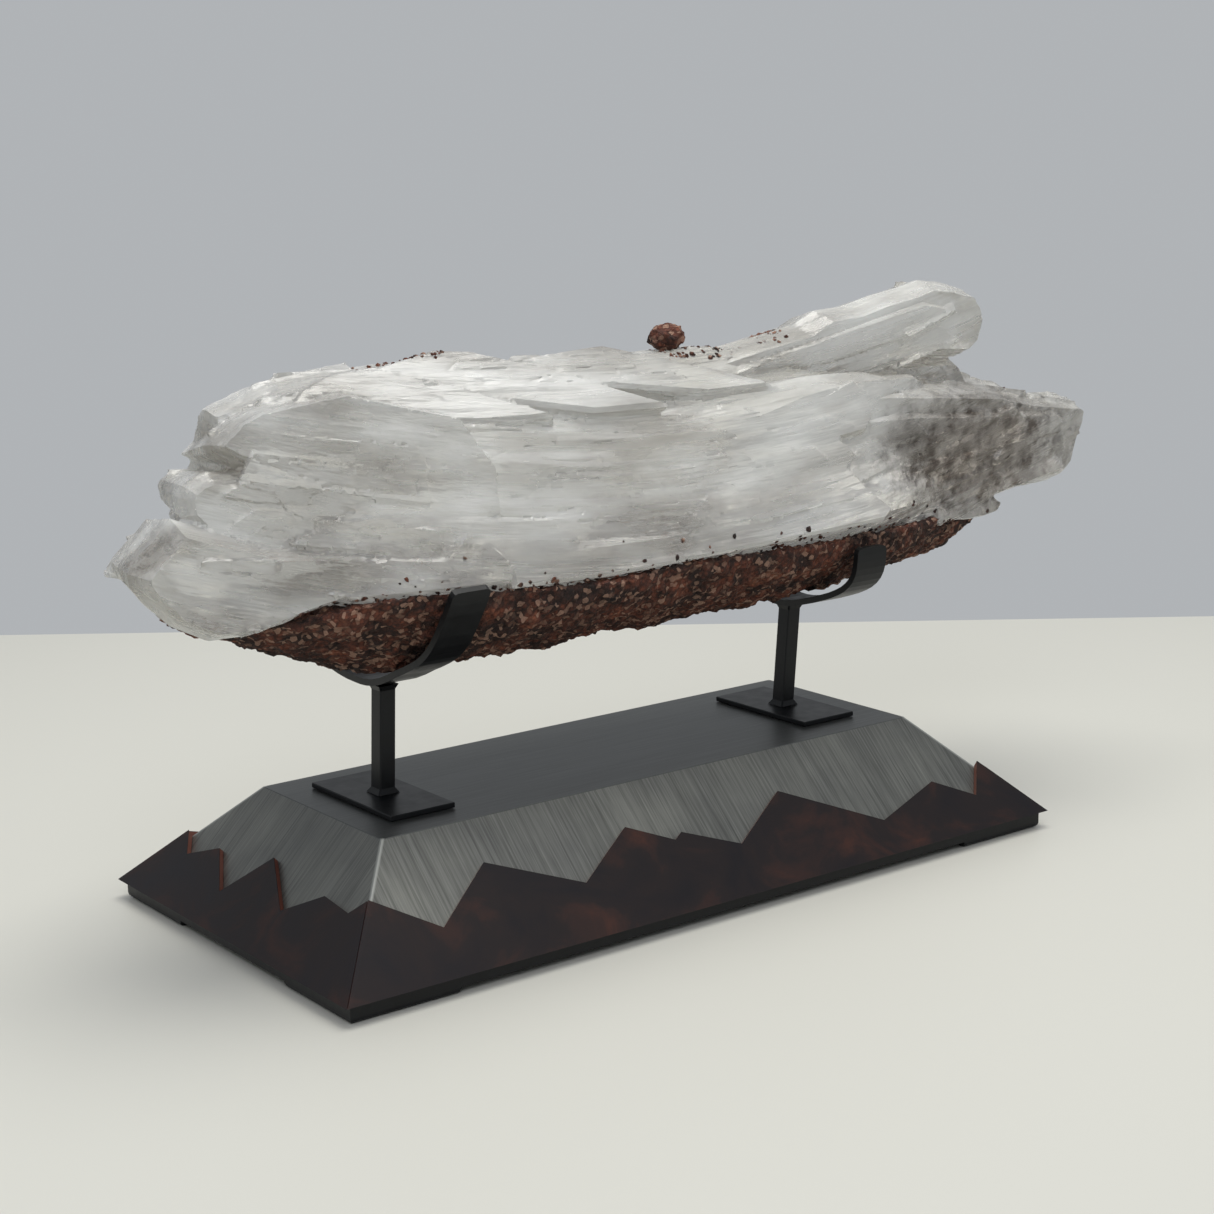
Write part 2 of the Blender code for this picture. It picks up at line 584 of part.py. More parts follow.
def make_right_blades(guides):
    """The tips at the right end, from the front to the back; outlines are (x, z)."""
    blade_form("small_right", [(184, 158), (215, 161), (240, 154), (234, 146), (223, 144.5), (184, 145)],
               -37, -27, -8, 3, guides, yaw=3)
    blade_form("right_tip", [(100, 216), (150, 220), (200, 215.5), (236, 212), (262, 206), (300, 201),
                             (307, 197), (306, 188), (300, 177), (296, 165), (286, 157), (260, 156),
                             (230, 152), (186, 147), (100, 149)],
               -35, -22, 4, 6, guides, yaw=1)
    blade_form("right_tip_scale", [(120, 206), (170, 205), (230, 200), (276, 197), (288, 190), (280, 183),
                                   (236, 180), (170, 178), (120, 180)],
               -38, -35, 0, 2.5, guides, yaw=1)
    blade_form("right_rear_tip", [(120, 222), (190, 227), (232, 226), (238, 219), (242, 213), (268, 210),
                                  (282, 203), (276, 186), (240, 170), (120, 165)],
               -8, 2, 18, 4, guides)
    blade_form("high_right", [(56, 239), (103, 247), (120, 249.5), (134, 256), (154, 257), (171, 261),
                              (192, 264), (204, 267), (218, 265.5), (236, 261), (242, 254), (245, 245),
                              (241, 232), (232, 226), (200, 228), (160, 220), (113, 219), (60, 226)],
               -17, -4, 14, 5, guides)
    blade_form("high_right_scale", [(76, 234), (140, 246), (196, 257), (216, 253), (206, 246),
                                    (190, 240), (120, 230)],
               -19, -17, 0, 1.6, guides)


def make_back_blades(guides):
    """Tips at the back of both ends; outlines are (x, z)."""
    blade_form("back_left", [(-198, 186), (-190, 200), (-166, 211), (-110, 210), (-110, 148),
                             (-180, 152), (-192, 168)],
               16, 38, 54, 7, guides, yaw=6)
    blade_form("back_low_left", [(-228, 174), (-220, 185), (-190, 190), (-130, 184), (-130, 136),
                                 (-196, 144), (-218, 159)],
               8, 24, 42, 8, guides, yaw=4)
    blade_form("back_right", [(60, 214), (150, 222), (204, 212), (218, 196), (212, 176), (192, 160),
                              (120, 150), (60, 152)],
               20, 36, 52, 6, guides, yaw=-5)
    blade_form("back_right_tip", [(120, 219), (190, 222), (240, 214), (266, 200), (270, 186),
                                  (254, 168), (214, 156), (120, 152)],
               6, 20, 36, 7, guides)


def make_crust(crystal, bars, parts, cutters, finish):
    """The gritty red rock under the crystal: a lumpy tray, cut to the crystal and to the bars."""
    bm = bmesh.new()
    rings = []
    for x in stations(CRUST_SECTIONS, CRUST_PITCH):
        low, half, rim = between(CRUST_SECTIONS, x)
        side = [(share * half, low + rise * (rim - low)) for share, rise in CRUST_PROFILE]
        section = [(-y, z) for y, z in reversed(side)] + [(y * CRUST_BACK, z) for y, z in side[1:]]
        ring = []
        for y, z in section:
            spot = Vector((x, y, z))
            clump = 0.4 - noise.voronoi(spot / CRUST_CLUMP)[0][0]
            lump = clump + 0.5 * noise.noise(spot / CRUST_SWELL)
            outward = Vector((y, z - rim - 10.0)).normalized() * CRUST_LUMP * lump
            ring.append(metres(x, y + outward.x, z + outward.y))
        rings.append([bm.verts.new(point) for point in ring])
    close_loft(bm, rings)
    crust = add_object("matrix_crust", bm, parts, finish)
    for cutter in (grown_copy(crystal, 0.0, CRUST_LIMIT, cutters), *bars):
        boolean(crust, "DIFFERENCE", cutter)


def grown_copy(source, low, high, cutters):
    """A cutter of the source's own form between two heights, a little larger all round."""
    bm = evaluated_bmesh(source)
    bm.normal_update()
    for vert in bm.verts:
        vert.co += vert.normal * CUT_GAP * MM
    for height, outer in ((low, Vector((0, 0, -1))), (high, Vector((0, 0, 1)))):
        everything = bm.verts[:] + bm.edges[:] + bm.faces[:]
        cut = bmesh.ops.bisect_plane(bm, geom=everything, plane_co=metres(0.0, 0.0, height),
                                     plane_no=outer, clear_outer=True)
        rim = [item for item in cut["geom_cut"] if isinstance(item, bmesh.types.BMEdge)]
        bmesh.ops.triangle_fill(bm, edges=rim, use_beauty=True)
    return as_cutter(add_object(source.name + "_clearance", bm, cutters))


def make_nodule(crystal, parts, cutters, finish):
    """A small knob of matrix grown on the crest."""
    bm = bmesh.new()
    bmesh.ops.create_icosphere(bm, subdivisions=3, radius=1.0)
    for vert in bm.verts:
        bump = 1.0 + sum(height * noise.noise(vert.co * pitch) for pitch, height in NODULE_LUMPS)
        vert.co = metres(*NODULE_PLACE) + metres(*[c * s * bump for c, s in zip(vert.co, NODULE_SIZE)])
    nodule = add_object("matrix_nodule", bm, parts, finish)
    boolean(nodule, "DIFFERENCE", grown_copy(crystal, CRUST_LIMIT, BASE_LENGTH, cutters))


def lowest_near(bend, y):
    """Height of a bar's outer side above y."""
    for (y0, z0), (y1, z1) in zip(bend, bend[1:]):
        if y0 <= y <= y1:
            return z0 + (z1 - z0) * (y - y0) / (y1 - y0)


def new_collection(name):
    made = bpy.data.collections.new(name)
    bpy.context.scene.collection.children.link(made)
    return made


def origin_shift(parts):
    """The move that puts the origin at the middle of the whole piece's outline, on the floor."""
    bpy.context.view_layer.update()
    graph = bpy.context.evaluated_depsgraph_get()
    points = []
    for piece in parts.objects:
        shaped = piece.evaluated_get(graph)
        points += [shaped.matrix_world @ vert.co for vert in shaped.data.vertices]
    low = Vector([min(p[i] for p in points) for i in range(3)])
    high = Vector([max(p[i] for p in points) for i in range(3)])
    middle = (low + high) / 2
    return Vector((-middle.x, -middle.y, -low.z))


def main():
    for old in list(bpy.data.objects):
        bpy.data.objects.remove(old)
    parts = new_collection("selenite_on_stand")
    guides = new_collection("blade_forms")
    cutters = new_collection("cutters")

    crystal_finish = material("selenite", (0.80, 0.80, 0.78), 0.25, transmission=0.8, ior=1.525)
    matrix_finish = material("red_matrix", (0.11, 0.035, 0.02), 0.9)
    black = material("satin_black_paint", (0.010, 0.011, 0.012), 0.45)
    sheet = material("patinated_steel_sheet", (0.10, 0.11, 0.108), 0.42, metallic=0.9)
    plate = material("red_brown_patina_plate", (0.022, 0.011, 0.012), 0.45, metallic=0.6)

    make_shell(parts, cutters, sheet)
    make_rim(parts, cutters, black)
    make_skylines(parts, plate)

    bars = []
    stands = [("left", LEFT_PLATE_X, LEFT_POST_X, LEFT_CRADLE_X, LEFT_CRADLE),
              ("right", RIGHT_PLATE_X, RIGHT_POST_X, RIGHT_CRADLE_X, RIGHT_CRADLE)]
    for side, plate_x, post_x, cradle_x, bend in stands:
        make_foot_plate("foot_plate_" + side, plate_x, parts, black)
        head = min(lowest_near(bend, y) for y in (-5.0, 0.0, 5.0))
        make_post("post_" + side, *post_x, head, parts, black)
        cradle = bent_bar("cradle_" + side, cradle_x, bend, 0.0, parts, black)
        clip_corners(cradle)
        clearance = bent_bar("cradle_clearance_" + side, cradle_x, bend, CUT_GAP, cutters)
        bars.append(as_cutter(clearance))

    make_left_blades(guides)
    make_top_plates(guides)
    make_face_layers(guides)
    make_right_blades(guides)
    make_back_blades(guides)
    crystal = make_crystal_body(guides, crystal_finish, parts)
    make_crust(crystal, bars, parts, cutters, matrix_finish)
    make_nodule(crystal, parts, cutters, matrix_finish)

    shift = origin_shift(parts)
    root = bpy.data.objects.new("selenite_root", None)
    parts.objects.link(root)
    for collection in (parts, guides, cutters):
        for piece in collection.objects:
            if piece is not root:
                piece.parent = root
    root.location = shift


main()
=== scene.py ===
import math
import random

import bmesh
import bpy
from mathutils import Matrix, Vector, bvhtree, kdtree, noise


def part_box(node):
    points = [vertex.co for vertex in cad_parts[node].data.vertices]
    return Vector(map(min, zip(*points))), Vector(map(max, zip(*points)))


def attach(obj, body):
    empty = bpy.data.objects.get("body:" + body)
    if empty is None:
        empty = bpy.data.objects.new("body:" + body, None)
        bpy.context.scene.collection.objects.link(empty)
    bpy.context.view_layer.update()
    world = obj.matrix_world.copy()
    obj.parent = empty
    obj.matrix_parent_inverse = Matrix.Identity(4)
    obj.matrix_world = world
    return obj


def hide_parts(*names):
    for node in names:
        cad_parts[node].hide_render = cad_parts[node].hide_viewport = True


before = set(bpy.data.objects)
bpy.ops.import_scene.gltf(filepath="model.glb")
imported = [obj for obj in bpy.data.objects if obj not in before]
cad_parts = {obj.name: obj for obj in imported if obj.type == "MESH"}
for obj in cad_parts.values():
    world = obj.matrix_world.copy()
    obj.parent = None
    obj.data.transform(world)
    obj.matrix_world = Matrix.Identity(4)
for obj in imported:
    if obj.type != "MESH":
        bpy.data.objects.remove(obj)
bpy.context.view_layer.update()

MM = 0.001


# The base: a hood of mild steel sheet, folded to four slopes and a flat top. It was ground across its
# slopes with an abrasive belt, darkened with a grey patina and waxed.
SHELL_LOW, SHELL_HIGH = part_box("base_shell")
BASE_CENTRE = (SHELL_LOW + SHELL_HIGH) / 2
HOOD_TOP_HALF = Vector((152.8, 50.55)) * MM
HOOD_LOW_HALF = Vector(((SHELL_HIGH.x - SHELL_LOW.x) / 2, (SHELL_HIGH.y - SHELL_LOW.y) / 2))
HIP_WIDTH = 1.6 * MM
BELT_STROKE = (0.9 * MM, 45 * MM)      # width and length of a belt scratch, drawn coarse enough to show


def linear(code):
    """An sRGB hex colour as linear RGBA."""
    parts = [int(code[i:i + 2], 16) / 255 for i in (1, 3, 5)]
    return (*[c / 12.92 if c <= 0.04045 else ((c + 0.055) / 1.055) ** 2.4 for c in parts], 1.0)


def add(tree, kind, inputs, stops=None, **settings):
    """Add a shader node. An input is a number, a vector, or a node or socket to link from."""
    node = tree.nodes.new("ShaderNode" + kind)
    for name, value in settings.items():
        setattr(node, name, value)
    for name, value in inputs.items():
        if isinstance(value, bpy.types.Node):
            value = value.outputs[0]
        if isinstance(value, bpy.types.NodeSocket):
            tree.links.new(value, node.inputs[name])
        else:
            node.inputs[name].default_value = value
    if stops:
        ramp = node.color_ramp
        while len(ramp.elements) < len(stops):
            ramp.elements.new(0.5)
        for element, (place, colour) in zip(ramp.elements, stops):
            element.position = place
            element.color = linear(colour) if isinstance(colour, str) else (colour, colour, colour, 1.0)
    return node


def new_material(name, **constants):
    """A Principled material with constant sockets, its node tree and the place that it is drawn at."""
    made = bpy.data.materials.new(name)
    made.use_nodes = True
    tree = made.node_tree
    shader = tree.nodes["Principled BSDF"]
    for socket, value in constants.items():
        shader.inputs[socket.replace("_", " ")].default_value = value
    return made, tree, shader, tree.nodes.new("ShaderNodeTexCoord").outputs["Object"]


def dress(names, made):
    """Give CAD nodes their material."""
    for name in names:
        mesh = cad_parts[name].data
        mesh.materials.clear()
        mesh.materials.append(made)


def slope_distances(tree, place, low_half, top_half, low_z, top_z):
    """Distances in plan from the end slopes and from the long slopes, inwards."""
    centred = add(tree, "VectorMath", {0: place, 1: (BASE_CENTRE.x, 0.0, 0.0)}, operation="SUBTRACT")
    axes = add(tree, "SeparateXYZ", {0: centred})
    distances = []
    for axis in (0, 1):
        reach = add(tree, "MapRange", {"Value": axes.outputs[2], "From Min": low_z, "From Max": top_z,
                                       "To Min": low_half[axis], "To Max": top_half[axis]})
        size = add(tree, "Math", {0: axes.outputs[axis]}, operation="ABSOLUTE")
        distances.append(add(tree, "Math", {0: reach, 1: size}, operation="SUBTRACT"))
    return distances, axes


# Belt-ground mild steel under a dark patina: a soft, streaky sheen, lighter in a thin line along each fold
steel, tree, shader, place = new_material("belt_ground_patinated_steel", Metallic=0.75, IOR=1.5)
(from_end, from_side), axes = slope_distances(tree, place, HOOD_LOW_HALF, HOOD_TOP_HALF,
                                              SHELL_LOW.z, SHELL_HIGH.z)
on_end = add(tree, "Math", {0: from_end, 1: from_side}, operation="LESS_THAN")
on_top = add(tree, "Math", {0: axes.outputs[2], 1: SHELL_HIGH.z - 0.3 * MM}, operation="GREATER_THAN")
across_y = add(tree, "Math", {0: on_end, 1: on_top}, operation="MAXIMUM")
stroke_layers = []
for turned in (False, True):
    wide, long = (1 / size for size in BELT_STROKE)
    scale = (long, wide, long) if turned else (wide, long, long)
    laid = add(tree, "Mapping", {"Vector": place, "Scale": scale})
    stroke_layers.append(add(tree, "TexNoise", {"Vector": laid, "Scale": 1.0, "Detail": 4.0,
                                                "Roughness": 0.65}))
strokes = add(tree, "Mix", {0: across_y, 2: stroke_layers[0], 3: stroke_layers[1]})
cloud = add(tree, "TexNoise", {"Vector": place, "Scale": 1 / (40 * MM), "Detail": 3.0})
tone = add(tree, "ValToRGB", {"Fac": cloud}, stops=[(0.3, "#676866"), (0.7, "#7b7c77")])
streak = add(tree, "ValToRGB", {"Fac": strokes}, stops=[(0.28, 0.55), (0.72, 1.25)])
streaked = add(tree, "Mix", {0: 1.0, 6: tone, 7: streak}, data_type="RGBA", blend_type="MULTIPLY")
corner = add(tree, "Math", {0: from_end, 1: from_side}, operation="MAXIMUM")
hip = add(tree, "MapRange", {"Value": corner, "From Min": HIP_WIDTH * 0.4, "From Max": HIP_WIDTH,
                             "To Min": 1.0, "To Max": 0.0})
topped = add(tree, "Mix", {0: on_top, 6: streaked.outputs[2], 7: linear("#565857")}, data_type="RGBA")
folds_lightened = add(tree, "Mix", {0: hip, 6: topped.outputs[2], 7: linear("#9a9c98")}, data_type="RGBA")
gloss = add(tree, "MapRange", {"Value": strokes, "To Min": 0.30, "To Max": 0.52})
relief = add(tree, "Bump", {"Height": strokes, "Strength": 0.25, "Distance": 0.2 * MM})
tree.links.new(folds_lightened.outputs[2], shader.inputs["Base Color"])
tree.links.new(gloss.outputs[0], shader.inputs["Roughness"])
tree.links.new(relief.outputs[0], shader.inputs["Normal"])
dress(["base_shell"], steel)


# Four plates cut to a mountain skyline and tacked onto the slopes. They are mild steel with a hot
# chemical patina: nearly black, clouded with purple and rust brown, and redder on their cut edges,
# where the lighter red is also a painted glint of light catching the edges.
PLATE_LOW_HALF = Vector((203.0, 102.35)) * MM
PLATE_STANDS_OUT = 4.2 * MM                # past the hood's slope, measured level
PLATE_TOP_HALF = HOOD_TOP_HALF + Vector((PLATE_STANDS_OUT, PLATE_STANDS_OUT))
CUT_EDGE = 0.25 * MM                       # behind the plate's face by this much is its cut edge

patina, tree, shader, place = new_material("red_brown_steel_patina", Metallic=0.35, IOR=1.36)
(from_end, from_side), axes = slope_distances(tree, place, PLATE_LOW_HALF, PLATE_TOP_HALF,
                                              SHELL_LOW.z, SHELL_HIGH.z)
behind = add(tree, "Math", {0: from_end, 1: from_side}, operation="MINIMUM")
glinting_cut_edge = add(tree, "MapRange", {"Value": behind, "From Min": CUT_EDGE, "From Max": 2 * CUT_EDGE})
cloud = add(tree, "TexNoise", {"Vector": place, "Scale": 1 / (38 * MM), "Detail": 5.0, "Roughness": 0.6,
                               "Distortion": 0.6})
mottle = add(tree, "ValToRGB", {"Fac": cloud}, stops=[(0.34, "#1a171b"), (0.52, "#211a1b"),
                                                      (0.63, "#32201d"), (0.74, "#46281f")])
# the lighter red on the cut edges is their own redder patina together with a painted glint of light on
# them
reddened_with_glint = add(tree, "Mix", {0: glinting_cut_edge, 6: mottle, 7: linear("#6e4034")}, data_type="RGBA")
fine = add(tree, "TexNoise", {"Vector": place, "Scale": 1 / (1.5 * MM), "Detail": 3.0})
gloss = add(tree, "MapRange", {"Value": cloud, "To Min": 0.32, "To Max": 0.55})
relief = add(tree, "Bump", {"Height": fine, "Strength": 0.12, "Distance": 0.2 * MM})
tree.links.new(reddened_with_glint.outputs[2], shader.inputs["Base Color"])
tree.links.new(gloss.outputs[0], shader.inputs["Roughness"])
tree.links.new(relief.outputs[0], shader.inputs["Normal"])
dress(["skyline_front", "skyline_right", "skyline_back", "skyline_left"], patina)


# The rim bar under the slopes, the foot plates, the square posts and the cradles: mild steel bar,
# welded, then brushed with satin black enamel, which lies a little uneven. Its grey corners are not drawn.
enamel, tree, shader, place = new_material("satin_black_enamel", IOR=1.33)
wavy = add(tree, "TexNoise", {"Vector": place, "Scale": 1 / (6 * MM), "Detail": 2.0})
grit = add(tree, "TexNoise", {"Vector": place, "Scale": 1 / (0.9 * MM), "Detail": 2.0})
tone = add(tree, "ValToRGB", {"Fac": wavy}, stops=[(0.3, "#0b0c0e"), (0.75, "#131517")])
gloss = add(tree, "MapRange", {"Value": wavy, "To Min": 0.30, "To Max": 0.46})
height = add(tree, "Mix", {0: 0.25, 2: wavy, 3: grit})
relief = add(tree, "Bump", {"Height": height, "Strength": 0.35, "Distance": 0.3 * MM})
tree.links.new(tone.outputs[0], shader.inputs["Base Color"])
tree.links.new(gloss.outputs[0], shader.inputs["Roughness"])
tree.links.new(relief.outputs[0], shader.inputs["Normal"])
dress(["foot_plate_left", "foot_plate_right", "post_left", "post_right", "cradle_left", "cradle_right",
       "base_rim"], enamel)


# The crystal: one cluster of selenite, a clear gypsum, whose blades fan out at both ends. It cleaves
# into long flat flakes, so its faces are stacks of thin steps that follow the curved grain.
GRAIN_CENTRE = BASE_CENTRE.x + 20 * MM     # where the blades lie level
GRAIN_RADIUS = 800 * MM                    # they climb to both sides of it on this curve
FLAKES = 1800                              # tried; those that would stick out of the crystal are left off
FLAKE_LENGTH = (30 * MM, 120 * MM)
FLAKE_WIDTH = (4 * MM, 15 * MM)
FLAKE_DEPTH = 5 * MM
FLAKE_PROUD = (0.1 * MM, 0.6 * MM)
FLAKE_STANDS_OUT = 0.9 * MM                # the most that a flake's corner may stand off the face
RAGGED_FROM = 165 * MM                     # further out than this the broken blade ends are ragged
RAGGED_STANDS_OUT = 4.0 * MM
FLAKE_TILT = math.radians(2.0)
SKIN_PITCH = 1.25 * MM
CREASE_REACH = 0.75 * MM
CREASE_ANGLE = math.radians(26)
SHARP_ANGLE = math.radians(22)
RIDGES = [(0.50 * MM, 90 * MM, 5 * MM), (0.30 * MM, 60 * MM, 2.8 * MM)]     # height, length and width
CRYSTAL_FACES = 190_000
SMOKY_SCALE = Vector((1 / 0.085, 1 / 0.20, 1 / 0.040))        # one over the patch's reach each way
SMOKY_SPOT = -Vector((0.190, -0.03, 0.180)) * SMOKY_SCALE     # clay is shut in at the high end, low down


def merged(node):
    """A welded bmesh of a CAD node."""
    bm = bmesh.new()
    bm.from_mesh(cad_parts[node].data)
    bmesh.ops.remove_doubles(bm, verts=bm.verts, dist=0.001 * MM)
    return bm


def new_piece(name, bm, made):
    """Make an object of a bmesh, with its material."""
    mesh = bpy.data.meshes.new(name)
    bm.to_mesh(mesh)
    bm.free()
    mesh.materials.append(made)
    piece = bpy.data.objects.new(name, mesh)
    bpy.context.scene.collection.objects.link(piece)
    return piece


def apply_modifiers(piece):
    """Replace the piece's mesh by what its modifiers make of it."""
    graph = bpy.context.evaluated_depsgraph_get()
    graph.update()
    mesh = bpy.data.meshes.new_from_object(piece.evaluated_get(graph))
    old = piece.data
    piece.modifiers.clear()
    piece.data = mesh
    bpy.data.meshes.remove(old)


def remesh(piece, pitch):
    """Cover a piece with one even skin of squares, pitch across."""
    step = piece.modifiers.new("skin", "REMESH")
    step.mode = "VOXEL"
    step.voxel_size = pitch
    apply_modifiers(piece)


def decimate(piece, faces):
    """Bring a mesh of quads down to a number of triangles, fewest where it is flat."""
    step = piece.modifiers.new("fewer", "DECIMATE")
    step.ratio = min(1.0, faces / (2 * len(piece.data.polygons)))
    apply_modifiers(piece)


def grain_direction(x):
    """Which way the blades run, above x."""
    return Vector((1.0, 0.0, (x - GRAIN_CENTRE) / GRAIN_RADIUS)).normalized()


def in_grain(spot):
    """A place with its height counted from the curved grain."""
    return Vector((spot.x, spot.y, spot.z - (spot.x - GRAIN_CENTRE) ** 2 / (2 * GRAIN_RADIUS)))


def stands_off(surface, corner):
    """How far a place is outside a surface."""
    near, outward, _, _ = surface.find_nearest(corner)
    return (corner - near).length if (corner - near).dot(outward) > 0 else 0.0


def add_flake(bm, surface, spot, outward, rng):
    """A thin pointed plate along the grain, a little proud of the face, where it fits on the crystal."""
    along = grain_direction(spot.x)
    along = (along - outward * along.dot(outward)).normalized()
    across = outward.cross(along)
    turn = Matrix.Rotation(rng.gauss(0, FLAKE_TILT), 3, along) @ \
        Matrix.Rotation(rng.gauss(0, FLAKE_TILT * 0.4), 3, across) @ \
        Matrix.Rotation(rng.gauss(0, FLAKE_TILT * 0.8), 3, outward)
    length = rng.uniform(*FLAKE_LENGTH)
    width = min(rng.uniform(*FLAKE_WIDTH), length / 5)
    proud = rng.uniform(*FLAKE_PROUD)
    size = Matrix.Diagonal((length, width, FLAKE_DEPTH, 1.0))
    axes = Matrix((turn @ along, turn @ across, turn @ outward)).transposed().to_4x4()
    placed = Matrix.Translation(spot + outward * (proud - FLAKE_DEPTH / 2)) @ axes @ size
    ends = [placed @ Vector((x, y, 0.5)) for x in (-0.5, 0.0, 0.5) for y in (-0.5, 0.5)]
    allowed = RAGGED_STANDS_OUT if abs(spot.x) > RAGGED_FROM else FLAKE_STANDS_OUT
    if max(stands_off(surface, end) for end in ends) > allowed:
        return
    corners = bmesh.ops.create_cube(bm, size=1.0)["verts"]
    points = (rng.uniform(0.15, 0.9), rng.uniform(0.15, 0.9))
    for corner in corners:
        end = corner.co.x > 0
        if corner.co.y > 0:
            corner.co.x *= 1 - points[end] * 0.5
    bmesh.ops.transform(bm, matrix=placed, verts=corners)


def scatter(surface, count, rng):
    """Random places on a mesh, as many to an area everywhere, with their outward normals."""
    faces = [(face.calc_area(), face) for face in surface.faces]
    picks = rng.choices(faces, weights=[area for area, face in faces], k=count)
    for _, face in picks:
        a, b, c = (vert.co for vert in face.verts[:3])
        u, v = rng.random(), rng.random()
        if u + v > 1:
            u, v = 1 - u, 1 - v
        yield a + (b - a) * u + (c - a) * v, face.normal.copy()


def crease_tree(bm):
    """Points along the sharp edges, to snap to."""
    spots = []
    for edge in bm.edges:
        if len(edge.link_faces) == 2 and edge.calc_face_angle(0.0) > CREASE_ANGLE:
            start, end = (vert.co for vert in edge.verts)
            count = max(1, math.ceil((end - start).length / (SKIN_PITCH / 2)))
            spots += [start.lerp(end, i / count) for i in range(count + 1)]
    tree = kdtree.KDTree(len(spots))
    for i, spot in enumerate(spots):
        tree.insert(spot, i)
    tree.balance()
    return tree


def push_out(mesh, height):
    """Move each vertex along its normal by height(place), with every normal read before any moves."""
    normals = [vert.normal.copy() for vert in mesh.vertices]
    for vert, normal in zip(mesh.vertices, normals):
        vert.co += normal * height(vert.co)


def striate(mesh, height, along, across):
    """Press ridges that follow the grain into a surface."""
    def ridge(spot):
        p = in_grain(spot)
        return height * noise.noise(Vector((p.x / along, p.y / across, p.z / across)))

    push_out(mesh, ridge)


crystal_look, tree, shader, place = new_material("selenite_gypsum", IOR=1.525, Transmission_Weight=0.8)
rng = random.Random(4)
body = merged("selenite_blade")
body.normal_update()
surface = bvhtree.BVHTree.FromBMesh(body)
solid = body.copy()
for spot, outward in scatter(body, FLAKES, rng):
    add_flake(solid, surface, spot, outward, rng)
creases = crease_tree(solid)
body.free()
crystal = new_piece("selenite_crystal", solid, crystal_look)
remesh(crystal, SKIN_PITCH)
for vert in crystal.data.vertices:
    near, _, distance = creases.find(vert.co)
    if distance < CREASE_REACH:
        vert.co = near
for height, along, across in RIDGES:
    striate(crystal.data, height, along, across)
crystal_low, crystal_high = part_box("selenite_blade")
for vert in crystal.data.vertices:
    vert.co = [min(max(c, low), high) for c, low, high in zip(vert.co, crystal_low, crystal_high)]
decimate(crystal, CRYSTAL_FACES)
crystal.data.shade_smooth()
crystal.data.set_sharp_from_angle(angle=SHARP_ANGLE)

# Clear gypsum is glassy on fresh flakes, silky where it is finely striated, and cloudy with age: part of
# the light passes through, bent by every step, and part is scattered back as a soft grey white
axes = add(tree, "SeparateXYZ", {0: place})
offset = add(tree, "Math", {0: axes.outputs[0], 1: GRAIN_CENTRE}, operation="SUBTRACT")
climb = add(tree, "Math", {0: offset, 1: 2.0}, operation="POWER")
fall = add(tree, "Math", {0: climb, 1: -1 / (2 * GRAIN_RADIUS), 2: axes.outputs[2]},
           operation="MULTIPLY_ADD")
grain = add(tree, "CombineXYZ", {0: axes.outputs[0], 1: axes.outputs[1], 2: fall})
bands = []
for along, across in ((60 * MM, 4.2 * MM), (40 * MM, 1.5 * MM)):
    laid = add(tree, "Mapping", {"Vector": grain, "Scale": (1 / along, 1 / across, 1 / across)})
    bands.append(add(tree, "TexNoise", {"Vector": laid, "Scale": 1.0, "Detail": 2.0}))
laid = add(tree, "Mapping", {"Vector": grain, "Scale": (1 / (38 * MM), 1 / (6 * MM), 1 / (6 * MM))})
cells = add(tree, "TexVoronoi", {"Vector": laid, "Scale": 1.0, "Randomness": 1.0})
coarse = add(tree, "Bump", {"Height": bands[0], "Strength": 0.55, "Distance": 0.8 * MM})
stepped = add(tree, "Bump", {"Height": cells.outputs["Color"], "Strength": 0.35, "Distance": 0.25 * MM,
                             "Normal": coarse})
fine = add(tree, "Bump", {"Height": bands[1], "Strength": 0.8, "Distance": 0.45 * MM, "Normal": stepped})
cloud = add(tree, "TexNoise", {"Vector": add(tree, "Mapping", {"Vector": grain, "Scale": (12, 40, 40)}),
                               "Scale": 1.0, "Detail": 4.0})
milky = add(tree, "MapRange", {"Value": cloud, "From Min": 0.3, "From Max": 0.7, "To Min": 0.85,
                               "To Max": 0.45})
tint = add(tree, "ValToRGB", {"Fac": cloud}, stops=[(0.3, "#eeebe5"), (0.6, "#f5f5f2"), (0.8, "#fafaf8")])
gloss = add(tree, "MapRange", {"Value": bands[0], "From Min": 0.3, "From Max": 0.7, "To Min": 0.08,
                               "To Max": 0.34})
smoky = add(tree, "VectorMath", {0: add(tree, "Mapping", {"Vector": place, "Location": SMOKY_SPOT,
                                                          "Scale": SMOKY_SCALE}).outputs[0]},
            operation="LENGTH")
specks = add(tree, "TexNoise", {"Vector": grain, "Scale": 1 / (9 * MM), "Detail": 5.0, "Roughness": 0.7})
ragged = add(tree, "Math", {0: specks, 1: smoky.outputs["Value"]}, operation="ADD")
smoke = add(tree, "MapRange", {"Value": ragged, "From Min": 0.95, "From Max": 1.55, "To Min": 1.0,
                               "To Max": 0.0})
smoke_tone = add(tree, "ValToRGB", {"Fac": specks}, stops=[(0.38, "#4b3f36"), (0.60, "#b3aba2")])
tint = add(tree, "Mix", {0: smoke, 6: tint, 7: smoke_tone}, data_type="RGBA").outputs[2]
tree.links.new(fine.outputs[0], shader.inputs["Normal"])
tree.links.new(milky.outputs[0], shader.inputs["Transmission Weight"])
tree.links.new(tint, shader.inputs["Base Color"])
tree.links.new(gloss.outputs[0], shader.inputs["Roughness"])
depth = add(tree, "VolumeAbsorption", {"Color": linear("#e6e2da"), "Density": 5.5})
tree.links.new(depth.outputs[0], tree.nodes["Material Output"].inputs["Volume"])

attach(crystal, "root")
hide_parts("selenite_blade")
